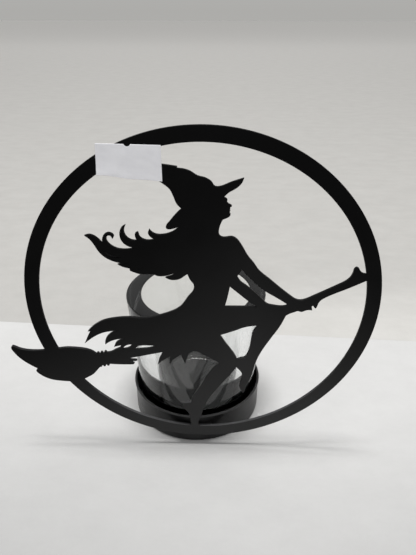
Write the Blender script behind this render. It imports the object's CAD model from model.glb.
"""Looks of the witch silhouette tealight holder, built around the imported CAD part.

The row frame is used throughout: the origin is the centre of the dish's underside,
+Z is up and the front looks along -Y. Lengths are written in millimetres and
multiplied by MM.
"""

import math

import bmesh
import bpy
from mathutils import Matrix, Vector, noise


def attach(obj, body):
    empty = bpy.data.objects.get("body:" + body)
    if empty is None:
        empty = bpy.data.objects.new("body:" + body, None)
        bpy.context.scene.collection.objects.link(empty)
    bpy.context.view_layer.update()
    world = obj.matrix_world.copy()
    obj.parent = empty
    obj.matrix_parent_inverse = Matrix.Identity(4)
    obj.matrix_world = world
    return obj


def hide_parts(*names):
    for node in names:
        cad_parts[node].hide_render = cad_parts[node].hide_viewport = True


MM = 0.001

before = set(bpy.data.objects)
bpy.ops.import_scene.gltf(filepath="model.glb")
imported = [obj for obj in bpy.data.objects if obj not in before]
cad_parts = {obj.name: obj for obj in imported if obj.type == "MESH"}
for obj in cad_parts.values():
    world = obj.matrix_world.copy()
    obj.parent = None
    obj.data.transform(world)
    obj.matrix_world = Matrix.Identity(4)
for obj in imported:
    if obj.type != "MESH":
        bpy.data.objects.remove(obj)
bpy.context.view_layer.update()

# Sizes that part.scad also has, in millimetres
HOOP_X, HOOP_Z, HOOP_R, HOOP_IN = 4.5, 87.0, 80.0, 73.6
SHEET_T = 1.5
SHEET_BACK = -36.3
SHEET_MID = SHEET_BACK - SHEET_T / 2
DISH_R, DISH_H, DISH_T, DISH_LIP, DISH_BEND = 35.6, 18.0, 0.8, 0.5, 1.2
GLASS_BACK, GLASS_Z, GLASS_H = 1.2, 1.6, 71.6
GLASS_FOOT_R, GLASS_RIM_R, GLASS_IN_FOOT_R, GLASS_IN_RIM_R = 32.0, 37.2, 23.0, 29.2
GLASS_BASE, GLASS_BEND_IN, GLASS_BEND_OUT, GLASS_RIM_EDGE = 10.0, 3.0, 1.5, 0.8
LABEL_LEFT, LABEL_RIGHT, LABEL_BOTTOM, LABEL_TOP = -41.5, -15.5, 58.0, 73.0
LABEL_NOTCH_R = 1.3

# The steel coat's gloss and dust change between these distances from the point on the
# table that is COAT_X right of the middle. Sideways distance counts COAT_ASIDE as much
COAT_X, COAT_NEAR, COAT_FAR, COAT_ASIDE = 25, 25, 160, 0.7
DUST_NEAR, DUST_FAR = 1.15, 0.45
# How many times lighter the coat is on edges that face up, and the heights from which
# that lessens and at which it is gone
EDGE_WEAR, WEAR_ALL, WEAR_NONE = 9.0, 15, 90
# How many times lighter the coat is on a lip, and how far below its top that starts
# and is complete
LIP_WEAR, LIP_START, LIP_WHOLE = 5.0, 1.2, 0.4

# The front sheet's tone falls to FADE_LEAST between two distances from the point
# (FADE_X, FADE_Y), where sideways distance is softened by FADE_SOFT and counts
# FADE_ASIDE as much. It rises again far off, where only the dome lights the sheet
FADE_X, FADE_Y, FADE_SOFT, FADE_ASIDE = 30, -40, 40, 0.5
FADE_FROM, FADE_TO, FADE_LEAST = -15, 215, 0.64
FRONT_FROM, FRONT_TO, FRONT_MOST = 230, 1500, 2.2
# Where the back sheet's tone starts to rise and where it has risen, and how far
BACK_FROM, BACK_TO, BACK_MOST = 200, 3500, 1.95
# The back sheet curls up to the light on the right beside the seam: from and to across,
# from and to behind, and how much lighter it gets
CURL_LEFT, CURL_RIGHT, CURL_FROM, CURL_TO, CURL_MOST = 0, 80, 60, 170, 0.22

# The seam between the floor's two sheets: how far behind the middle, and its turn in
# degrees. The back sheet lies BACK_SHEET_Z up, over the front one's last SEAM_LAP
SEAM_Y, SEAM_TURN, SEAM_LAP, BACK_SHEET_Z = 68.4, -3.6, 30, 0.05
FLOOR_HALF = 12000


# Materials

def new_material(name):
    m = bpy.data.materials.new(name)
    m.use_nodes = True
    nt = m.node_tree
    return m, nt, nt.nodes["Principled BSDF"]


def link(nt, a, out, b, inp):
    nt.links.new(a.outputs[out], b.inputs[inp])


def add(nt, kind, **props):
    n = nt.nodes.new(kind)
    for k, v in props.items():
        setattr(n, k, v)
    return n


def noise_texture(nt, scale, detail, rough, stretch=(1, 1, 1)):
    """A noise texture in the piece's own space, at scale per metre."""
    co = add(nt, "ShaderNodeTexCoord")
    mp = add(nt, "ShaderNodeMapping")
    mp.inputs["Scale"].default_value = stretch
    link(nt, co, "Object", mp, "Vector")
    t = add(nt, "ShaderNodeTexNoise")
    t.inputs["Scale"].default_value = scale
    t.inputs["Detail"].default_value = detail
    t.inputs["Roughness"].default_value = rough
    link(nt, mp, "Vector", t, "Vector")
    return t


def ramp(nt, src, out, stops):
    """A colour ramp. Each stop is a place and a grey or a colour."""
    r = add(nt, "ShaderNodeValToRGB")
    e = r.color_ramp.elements
    while len(e) < len(stops):
        e.new(0.5)
    for k, (pos, col) in enumerate(stops):
        e[k].position = pos
        e[k].color = (*col, 1) if isinstance(col, tuple) else (col, col, col, 1)
    link(nt, src, out, r, "Fac")
    return r


def bump(nt, bsdf, height, strength, distance, chain=None):
    """A bump of distance metres from a noise texture, laid over the bump in chain."""
    b = add(nt, "ShaderNodeBump")
    b.inputs["Strength"].default_value = strength
    b.inputs["Distance"].default_value = distance
    link(nt, height, "Fac", b, "Height")
    if chain is not None:
        link(nt, chain, "Normal", b, "Normal")
    link(nt, b, "Normal", bsdf, "Normal")
    return b


def math_node(nt, operation, a, b=None):
    """A math node on values that are numbers or (node, output) pairs."""
    n = add(nt, "ShaderNodeMath", operation=operation)
    for k, v in enumerate((a, b)):
        if isinstance(v, tuple):
            link(nt, v[0], v[1], n, k)
        elif v is not None:
            n.inputs[k].default_value = v
    return n, "Value"


def mapped(nt, value, from_min, from_max, to_min, to_max, how="LINEAR"):
    """A (node, output) pair that carries value from one range to another."""
    n = add(nt, "ShaderNodeMapRange", interpolation_type=how)
    n.inputs["From Min"].default_value = from_min
    n.inputs["From Max"].default_value = from_max
    n.inputs["To Min"].default_value = to_min
    n.inputs["To Max"].default_value = to_max
    link(nt, value[0], value[1], n, "Value")
    return n, "Result"


def eased(nt, value, from_min, from_max, to_min, to_max):
    """The same with a soft start and end."""
    return mapped(nt, value, from_min, from_max, to_min, to_max, "SMOOTHSTEP")


def place(nt):
    """The place on the piece, in its own space, split into X, Y and Z in metres."""
    co = add(nt, "ShaderNodeTexCoord")
    xyz = add(nt, "ShaderNodeSeparateXYZ")
    link(nt, co, "Object", xyz, "Vector")
    return xyz


def scaled_colour(nt, colour, factor, bsdf):
    """Makes the shader's base colour that of the node colour, times factor."""
    mul = add(nt, "ShaderNodeVectorMath", operation="SCALE")
    link(nt, colour, "Color", mul, 0)
    link(nt, factor[0], factor[1], mul, "Scale")
    link(nt, mul, "Vector", bsdf, "Base Color")


def powder_coat(name, dark, light, rough, gloss, gloss_far=None, lip=None):
    """Satin black powder coat: fine orange peel, specks and faint patches of dust. rough
    is its least and most roughness. With gloss_far the gloss and dust are graded over
    the piece, and its edges that face up low down are worn lighter. lip is the height
    of a worn lip, in millimetres."""
    m, nt, b = new_material(name)
    patches = noise_texture(nt, 45, 4, 0.55)
    col = ramp(nt, patches, "Fac", [(0.35, dark), (0.75, light)])
    speck = noise_texture(nt, 1600, 2, 0.5)
    speck_mask = ramp(nt, speck, "Fac", [(0.70, 0.0), (0.80, 1.0)])
    mix = add(nt, "ShaderNodeMixRGB", blend_type="MIX")
    mix.inputs["Color2"].default_value = (*(2.2 * c for c in light), 1)
    fac = math_node(nt, "MULTIPLY", (speck_mask, "Color"), 0.5)
    link(nt, fac[0], fac[1], mix, "Fac")
    link(nt, col, "Color", mix, "Color1")
    if gloss_far is not None:
        xyz = place(nt)
        aside = math_node(nt, "ABSOLUTE", math_node(nt, "SUBTRACT", (xyz, "X"), COAT_X * MM))
        away = math_node(nt, "ADD", (xyz, "Z"), math_node(nt, "MULTIPLY", aside, COAT_ASIDE))
        shine = eased(nt, away, COAT_NEAR * MM, COAT_FAR * MM, gloss, gloss_far)
        link(nt, shine[0], shine[1], b, "Specular IOR Level")
        dust = eased(nt, away, COAT_NEAR * MM, COAT_FAR * MM, DUST_NEAR, DUST_FAR)
        facing = add(nt, "ShaderNodeSeparateXYZ")
        link(nt, add(nt, "ShaderNodeNewGeometry"), "Normal", facing, "Vector")
        upward = eased(nt, (facing, "Z"), 0.3, 0.8, 0.0, EDGE_WEAR)
        low = eased(nt, (xyz, "Z"), WEAR_ALL * MM, WEAR_NONE * MM, 1.0, 0.0)
        dust = math_node(nt, "ADD", dust, math_node(nt, "MULTIPLY", upward, low))
        scaled_colour(nt, mix, dust, b)
    else:
        b.inputs["Specular IOR Level"].default_value = gloss
        if lip is None:
            link(nt, mix, "Color", b, "Base Color")
        else:
            start, whole = (lip - LIP_START) * MM, (lip - LIP_WHOLE) * MM
            scaled_colour(nt, mix, eased(nt, (place(nt), "Z"), start, whole, 1.0, LIP_WEAR), b)
    cloud = mapped(nt, (noise_texture(nt, 90, 3, 0.6), "Fac"), 0.3, 0.7, *rough)
    link(nt, cloud[0], cloud[1], b, "Roughness")
    peel = noise_texture(nt, 1300, 2, 0.5)
    bump(nt, b, peel, 0.25, 0.00006)
    return m


def clear_glass(name):
    """Clear pressed glass with faint vertical ripples left by the mould."""
    m, nt, b = new_material(name)
    b.inputs["Base Color"].default_value = (0.975, 0.985, 0.98, 1)
    b.inputs["Roughness"].default_value = 0.0
    b.inputs["IOR"].default_value = 1.5
    b.inputs["Transmission Weight"].default_value = 1.0
    ripple = noise_texture(nt, 60, 1.5, 0.4, stretch=(1, 1, 0.25))
    bump(nt, b, ripple, 0.22, 0.0006)
    return m


def rubber(name):
    """Matt black rubber with a fine grain."""
    m, nt, b = new_material(name)
    grain = noise_texture(nt, 900, 3, 0.6)
    col = ramp(nt, grain, "Fac", [(0.3, (0.004, 0.004, 0.004)), (0.8, (0.010, 0.010, 0.011))])
    link(nt, col, "Color", b, "Base Color")
    b.inputs["Roughness"].default_value = 0.75
    bump(nt, b, grain, 0.3, 0.0001)
    return m


def paper(name, base, shade, crease):
    """Coated label paper: faint mottling, fibre grain and soft creases."""
    m, nt, b = new_material(name)
    mottle = noise_texture(nt, 160, 4, 0.6)
    col = ramp(nt, mottle, "Fac", [(0.3, shade), (0.7, base)])
    link(nt, col, "Color", b, "Base Color")
    fibre = noise_texture(nt, 2500, 2, 0.6)
    b1 = bump(nt, b, fibre, 0.2, 0.00004)
    fold = noise_texture(nt, 55, 2, 0.5, stretch=(1, 1, 2.2))
    bump(nt, b, fold, 0.5, crease, b1)
    b.inputs["Roughness"].default_value = 0.55
    b.inputs["Specular IOR Level"].default_value = 0.35
    return m


def backdrop_paper(name, base, shade, tone_of):
    """Matt paper sheet with soft mottling, faint fibres and slow waves. tone_of builds
    the factor, along the floor, that graduates the sheet's tone."""
    m, nt, b = new_material(name)
    mottle = noise_texture(nt, 48, 7, 0.72, stretch=(0.6, 1, 1))
    col = ramp(nt, mottle, "Fac", [(0.25, shade), (0.75, base)])
    scaled_colour(nt, col, tone_of(nt, place(nt)), b)
    fibre = noise_texture(nt, 420, 4, 0.65)
    b1 = bump(nt, b, fibre, 0.25, 0.0006)
    wave = noise_texture(nt, 9, 1, 0.4)
    bump(nt, b, wave, 0.25, 0.012, b1)
    b.inputs["Roughness"].default_value = 0.95
    b.inputs["Specular IOR Level"].default_value = 0.1
    return m


def front_tone(nt, xyz):
    """Falls away in front of the point (FADE_X, FADE_Y) and rises again far off."""
    forward = math_node(nt, "SUBTRACT", FADE_Y * MM, (xyz, "Y"))
    aside = math_node(nt, "SUBTRACT", (xyz, "X"), FADE_X * MM)
    squares = math_node(nt, "ADD", math_node(nt, "MULTIPLY", aside, aside), (FADE_SOFT * MM) ** 2)
    spread = math_node(nt, "MULTIPLY", math_node(nt, "SQRT", squares), FADE_ASIDE)
    distance = math_node(nt, "ADD", forward, spread)
    fade = eased(nt, distance, FADE_FROM * MM, FADE_TO * MM, 1.0, FADE_LEAST)
    rise = eased(nt, distance, FRONT_FROM * MM, FRONT_TO * MM, 1.0, FRONT_MOST)
    return math_node(nt, "MULTIPLY", fade, rise)


def back_tone(nt, xyz):
    """Rises far behind the object, where only the dome lights the sheet, and a little
    on the right beside the seam."""
    rise = eased(nt, (xyz, "Y"), BACK_FROM * MM, BACK_TO * MM, 1.0, BACK_MOST)
    beside = eased(nt, (xyz, "Y"), CURL_FROM * MM, CURL_TO * MM, CURL_MOST, 0.0)
    right = eased(nt, (xyz, "X"), CURL_LEFT * MM, CURL_RIGHT * MM, 0.0, 1.0)
    return math_node(nt, "ADD", rise, math_node(nt, "MULTIPLY", beside, right))


steel = powder_coat(
    "steel_black", (0.0045, 0.0045, 0.0047), (0.0080, 0.0080, 0.0083),
    rough=(0.40, 0.55), gloss=0.34, gloss_far=0.05,
)
dish_steel = powder_coat(
    "dish_black", (0.005, 0.005, 0.0052), (0.009, 0.009, 0.0092),
    rough=(0.26, 0.40), gloss=0.26, lip=DISH_H,
)
weld_steel = powder_coat(
    "weld_black", (0.004, 0.004, 0.0042), (0.009, 0.009, 0.0092),
    rough=(0.35, 0.55), gloss=0.36,
)
glass = clear_glass("clear_glass")
pad_rubber = rubber("rubber_black")
label_paper = paper("paper", (0.925, 0.925, 0.955), (0.87, 0.87, 0.905), 0.0009)
label_glue = paper("paper_back", (0.62, 0.60, 0.55), (0.56, 0.54, 0.50), 0.0006)


# Mesh helpers

def mesh_object(name, bm, *mats, smooth_angle=35):
    """Turns bm into an object that is smooth, but sharp where faces meet more steeply
    than smooth_angle, in degrees."""
    bmesh.ops.recalc_face_normals(bm, faces=bm.faces)
    me = bpy.data.meshes.new(name)
    bm.to_mesh(me)
    bm.free()
    for m in mats:
        me.materials.append(m)
    me.shade_smooth()
    me.set_sharp_from_angle(angle=math.radians(smooth_angle))
    o = bpy.data.objects.new(name, me)
    bpy.context.collection.objects.link(o)
    return o


def lathe(name, profile, mats, cy=0.0, segments=192):
    """Turns a profile of (radius, height) points, in millimetres, about the vertical axis
    at Y = cy."""
    bm = bmesh.new()
    rings = []
    for r, z in profile:
        if r < 1e-6:
            rings.append([bm.verts.new((0, cy * MM, z * MM))])
            continue
        ring = []
        for i in range(segments):
            a = 2 * math.pi * i / segments
            ring.append(bm.verts.new((r * math.cos(a) * MM, (cy + r * math.sin(a)) * MM, z * MM)))
        rings.append(ring)
    for a, b in zip(rings, rings[1:]):
        for i in range(segments):
            j = (i + 1) % segments
            if len(a) == 1:
                bm.faces.new((a[0], b[j], b[i]))
            elif len(b) == 1:
                bm.faces.new((a[i], a[j], b[0]))
            else:
                bm.faces.new((a[i], a[j], b[j], b[i]))
    return mesh_object(name, bm, *mats)


def bend(x, y, r, start, end, n=8):
    """Points of a bend of radius r about (x, y), in degrees."""
    pts = []
    for k in range(n + 1):
        a = math.radians(start + (end - start) * k / n)
        pts.append((x + r * math.cos(a), y + r * math.sin(a)))
    return pts


def between(a, b, n=12):
    """The points inside a straight run from a to b, cut into n."""
    return [tuple(p + (q - p) * t / n for p, q in zip(a, b)) for t in range(1, n)]


def coat_cad_node(node, material):
    """Gives a CAD node that stays as it is its material."""
    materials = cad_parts[node].data.materials
    materials.clear()
    materials.append(material)


# Silhouette sheet: the CAD outline as a curve, filled and given softened arrises

def cad_loops(node):
    """Closed outlines of the sheet's front, as (x, z) in millimetres."""
    bm = bmesh.new()
    bm.from_mesh(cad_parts[node].data)
    bmesh.ops.remove_doubles(bm, verts=bm.verts, dist=1e-6)
    front = min(v.co.y for v in bm.verts) + 1e-5
    nxt = {}
    for e in bm.edges:
        if all(v.co.y < front for v in e.verts):
            caps = [f for f in e.link_faces if all(v.co.y < front for v in f.verts)]
            if len(caps) == 1:
                for v, w in (e.verts, reversed(e.verts)):
                    nxt.setdefault(v, []).append(w)
    loops, seen = [], set()
    for v0 in sorted(nxt, key=lambda v: (round(v.co.x, 7), round(v.co.z, 7))):
        if v0 in seen:
            continue
        loop, prev, v = [], None, v0
        while v not in seen:
            seen.add(v)
            loop.append((v.co.x / MM, v.co.z / MM))
            ways = [w for w in nxt[v] if w is not prev and w not in seen]
            if not ways:
                break
            prev, v = v, ways[0]
        loops.append(loop)
    bm.free()
    return loops


def rounded(loop):
    """The loop with extra points where it follows one of the hoop's two circles."""
    on_circle, step = 0.01, 1.2
    out = []
    for a, b in zip(loop, loop[1:] + loop[:1]):
        out.append(a)
        for r in (HOOP_R, HOOP_IN):
            ra, rb = (math.hypot(p[0] - HOOP_X, p[1] - HOOP_Z) for p in (a, b))
            if abs(ra - r) < on_circle and abs(rb - r) < on_circle:
                t0 = math.atan2(a[1] - HOOP_Z, a[0] - HOOP_X)
                t1 = math.atan2(b[1] - HOOP_Z, b[0] - HOOP_X)
                dt = (t1 - t0 + math.pi) % (2 * math.pi) - math.pi
                n = max(1, math.ceil(abs(dt) * r / step))
                for k in range(1, n):
                    t = t0 + dt * k / n
                    out.append((HOOP_X + r * math.cos(t), HOOP_Z + r * math.sin(t)))
    return out


def sheet_panel(name, node, edge=0.16):
    """The node's outline filled, SHEET_T thick, with arrises of radius edge."""
    curve = bpy.data.curves.new(name, "CURVE")
    curve.dimensions = "2D"
    curve.fill_mode = "BOTH"
    curve.extrude = (SHEET_T / 2 - edge) * MM
    curve.bevel_depth = edge * MM
    curve.bevel_resolution = 2
    curve.offset = -edge * MM
    for loop in cad_loops(node):
        pts = rounded(loop)
        s = curve.splines.new("POLY")
        s.points.add(len(pts) - 1)
        for p, (x, z) in zip(s.points, pts):
            p.co = (x * MM, z * MM, 0, 1)
        s.use_cyclic_u = True
    tmp = bpy.data.objects.new(name + "_curve", curve)
    bpy.context.collection.objects.link(tmp)
    bpy.context.view_layer.update()
    depsgraph = bpy.context.evaluated_depsgraph_get()
    me = bpy.data.meshes.new_from_object(tmp.evaluated_get(depsgraph))
    bpy.data.objects.remove(tmp)
    bm = bmesh.new()
    bm.from_mesh(me)
    bpy.data.meshes.remove(me)
    bmesh.ops.remove_doubles(bm, verts=bm.verts, dist=1e-7)
    for v in bm.verts:
        v.co = (v.co.x, SHEET_MID * MM + v.co.z, v.co.y)
    o = mesh_object(name, bm, steel, smooth_angle=32)
    # The flat faces keep their own normals up to the softened arris
    flat_sides = {}
    for p in o.data.polygons:
        if abs(p.normal.y) > 0.999:
            for key in p.edge_keys:
                flat_sides[key] = flat_sides.get(key, 0) + 1
    for e in o.data.edges:
        if flat_sides.get(e.key, 0) == 1:
            e.use_edge_sharp = True
    return o


panel = sheet_panel("silhouette_sheet", "witch_panel")
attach(panel, "holder")
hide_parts("witch_panel")


# Dish

def dish_profile():
    """Half profile, from the middle of the underside out, over the lip and back in."""
    return (
        [(0, 0)]
        + [(r, 0) for r in (8, 16, 24)]
        + bend(DISH_R - DISH_BEND, DISH_BEND, DISH_BEND, -90, 0)
        + [(DISH_R, DISH_H - 2.2 * DISH_LIP)]
        + bend(DISH_R, DISH_H - DISH_LIP, DISH_LIP, -60, 90)
        + [(DISH_R - DISH_T + 0.25, DISH_H - 0.05), (DISH_R - DISH_T, DISH_H - 0.35)]
        + bend(DISH_R - DISH_BEND, DISH_BEND, DISH_BEND - DISH_T, 0, -90)
        + [(r, DISH_T) for r in (24, 12)]
        + [(0, DISH_T)]
    )


dish = lathe("dish", dish_profile(), [dish_steel])
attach(dish, "holder")
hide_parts("base_dish")

coat_cad_node("weld_beads", weld_steel)


# Glass cup

def glass_profile():
    """Half profile, from the middle of the underside out, over the rim and back in."""
    lean = (GLASS_RIM_R - GLASS_FOOT_R) / GLASS_H
    foot_wall = GLASS_FOOT_R + lean * GLASS_BEND_OUT
    e, b = GLASS_RIM_EDGE, GLASS_BEND_IN
    rim_z, floor_z = GLASS_H - e, GLASS_BASE + b
    pts = (
        [(0, 0), (14, 0), (26, 0)]
        + bend(foot_wall - GLASS_BEND_OUT, GLASS_BEND_OUT, GLASS_BEND_OUT, -90, 0)
        + between((foot_wall, GLASS_BEND_OUT), (GLASS_RIM_R, rim_z))
        + bend(GLASS_RIM_R - e, rim_z, e, 0, 90, 6)
        + bend(GLASS_IN_RIM_R + e, rim_z, e, 90, 180, 6)
        + between((GLASS_IN_RIM_R, rim_z), (GLASS_IN_FOOT_R, floor_z))
        + bend(GLASS_IN_FOOT_R - b, floor_z, b, 0, -90)
        + [(16, GLASS_BASE), (8, GLASS_BASE), (0, GLASS_BASE)]
    )
    return [(r, z + GLASS_Z) for r, z in pts]


glass_cup = lathe("glass_cup", glass_profile(), [glass, pad_rubber], cy=GLASS_BACK, segments=256)
# The underside is stuck to the pad, so it shows black from inside
for p in glass_cup.data.polygons:
    if p.center.z < (GLASS_Z + 0.05) * MM:
        p.material_index = 1
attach(glass_cup, "glass")
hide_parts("glass_cup")

coat_cad_node("glass_pad", pad_rubber)


# Price label

def label():
    """A paper rectangle of 26 by 15 mm with a notch in its top edge, a torn lower edge
    and a lower left corner that curls forward."""
    columns, rows = 78, 45
    width = LABEL_RIGHT - LABEL_LEFT
    notch_x, notch_z = (LABEL_LEFT + LABEL_RIGHT) / 2, LABEL_TOP + 0.1
    tear = 0.55
    bm = bmesh.new()
    grid = {}
    for i in range(columns + 1):
        for j in range(rows + 1):
            u, v = i / columns, j / rows
            # The lower edge runs down to a small tear, then on less steeply, in a wave
            torn = 2.5 - 2.6 * u if u < tear else 1.07 - 1.07 * (u - tear) / 0.45
            bottom = LABEL_BOTTOM + torn + 0.35 * math.sin(9 * u) * (1 - u)
            top = LABEL_TOP - 0.6 * u
            x = LABEL_LEFT + 0.6 * v * (1 - u) + width * u
            z = bottom + (top - bottom) * v
            if math.hypot(x - notch_x, z - notch_z) < LABEL_NOTCH_R and v > 0.8:
                z = notch_z - math.sqrt(max(LABEL_NOTCH_R ** 2 - (x - notch_x) ** 2, 0))
            # It stands off the sheet, most at the lower left corner, and is not quite flat
            lift = 0.16 + 0.5 * max(0, 1 - math.hypot(u * 1.4, v * 2.2)) ** 1.5
            lift += 0.05 * noise.noise((x * 0.25, z * 0.5, 3.0))
            y = SHEET_MID - SHEET_T / 2 - lift
            grid[i, j] = bm.verts.new(((HOOP_X + x) * MM, y * MM, (HOOP_Z + z) * MM))
    for i in range(columns):
        for j in range(rows):
            bm.faces.new((grid[i, j], grid[i + 1, j], grid[i + 1, j + 1], grid[i, j + 1]))
    o = mesh_object("price_label_paper", bm, label_paper, label_glue, smooth_angle=60)
    solid = o.modifiers.new("thickness", "SOLIDIFY")
    solid.thickness = 0.1 * MM
    solid.offset = 0
    solid.material_offset = 0
    return o


price_label = label()
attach(price_label, "holder")
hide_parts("price_label")


# Floor: two sheets of pale paper, the back one laid over the front one's edge

def paper_sheet(name, y0, y1, z, mat):
    """A rectangle of paper turned to the seam's angle, from y0 to y1 past the seam."""
    turn = math.radians(SEAM_TURN)
    bm = bmesh.new()
    corners = []
    for x, y in ((-FLOOR_HALF, y0), (FLOOR_HALF, y0), (FLOOR_HALF, y1), (-FLOOR_HALF, y1)):
        px = x * math.cos(turn) - y * math.sin(turn)
        py = x * math.sin(turn) + y * math.cos(turn) + SEAM_Y
        corners.append(bm.verts.new((px * MM, py * MM, z * MM)))
    bm.faces.new(corners)
    return mesh_object(name, bm, mat)


floor_paper = backdrop_paper(
    "floor_paper", (0.625, 0.624, 0.620), (0.575, 0.574, 0.570), front_tone
)
back_paper = backdrop_paper(
    "back_paper", (0.498, 0.491, 0.474), (0.438, 0.431, 0.415), back_tone
)
front_sheet = paper_sheet("floor_front", -FLOOR_HALF, SEAM_LAP, 0, floor_paper)
back_sheet = paper_sheet("floor_back", 0, FLOOR_HALF, BACK_SHEET_Z, back_paper)


# Light

LAMP_COLOUR = (1, 0.995, 0.985)


def area(name, where, to, size, power):
    """A rectangular lamp of a size in millimetres and a power in watts."""
    data = bpy.data.lights.new(name, "AREA")
    data.shape = "RECTANGLE"
    data.size, data.size_y = size[0] * MM, size[1] * MM
    data.energy = power
    data.color = LAMP_COLOUR
    o = bpy.data.objects.new(name, data)
    bpy.context.collection.objects.link(o)
    o.location = Vector(where) * MM
    o.rotation_euler = (Vector(to) * MM - o.location).to_track_quat("-Z", "Y").to_euler()
    return o


area("top_light", (-20, 160, 700), (0, 60, 0), size=(420, 360), power=0.6)
# A lamp straight over the sheet, along the backdrop's seam
tube = area("tube_light", (0, -36, 2400), (0, -36, 0), size=(900, 330), power=45)
tube.rotation_euler = (0, 0, math.radians(SEAM_TURN))


def studio_world(front, back):
    """A soft dome. front and back are its stops: the sine of the elevation, and the
    strength or colour there. One blends into the other across the object."""
    world = bpy.data.worlds.new("world")
    bpy.context.scene.world = world
    world.use_nodes = True
    nt = world.node_tree
    co = add(nt, "ShaderNodeTexCoord")
    xyz = add(nt, "ShaderNodeSeparateXYZ")
    link(nt, co, "Generated", xyz, "Vector")
    ahead = ramp(nt, xyz, "Z", front)
    behind = ramp(nt, xyz, "Z", back)
    blend = 0.25
    side = eased(nt, (xyz, "Y"), -blend, blend, 0.0, 1.0)
    mix = add(nt, "ShaderNodeMixRGB", blend_type="MIX")
    link(nt, side[0], side[1], mix, "Fac")
    link(nt, ahead, "Color", mix, "Color1")
    link(nt, behind, "Color", mix, "Color2")
    link(nt, mix, "Color", nt.nodes["Background"], "Color")


studio_world(
    front=[(0.0, 0.47), (0.15, 0.84), (0.60, 0.76), (0.85, 0.20)],
    back=[
        (0.0, (0.418, 0.414, 0.400)),
        (0.05, (0.440, 0.438, 0.425)),
        (0.30, 0.48),
        (0.85, 0.42),
    ],
)

scene = bpy.context.scene
scene.view_settings.view_transform = "Standard"
scene.view_settings.look = "None"


# Camera, right of the hoop's middle, in front of it and above it, in millimetres

CAMERA_RIGHT, CAMERA_FRONT, CAMERA_UP = 6.6, 191.3, 117.9
CAMERA_DOWN, CAMERA_TURN = 28.42, 1.18
camera_data = bpy.data.cameras.new("camera")
camera_data.lens = 32.04
camera_data.sensor_width = 36
camera_data.clip_start = 0.01
camera = bpy.data.objects.new("camera", camera_data)
bpy.context.collection.objects.link(camera)
camera.location = (
    (HOOP_X + CAMERA_RIGHT) * MM,
    (SHEET_MID - CAMERA_FRONT) * MM,
    (HOOP_Z + CAMERA_UP) * MM,
)
camera.rotation_euler = (math.radians(90 - CAMERA_DOWN), 0, math.radians(CAMERA_TURN))
scene.camera = camera
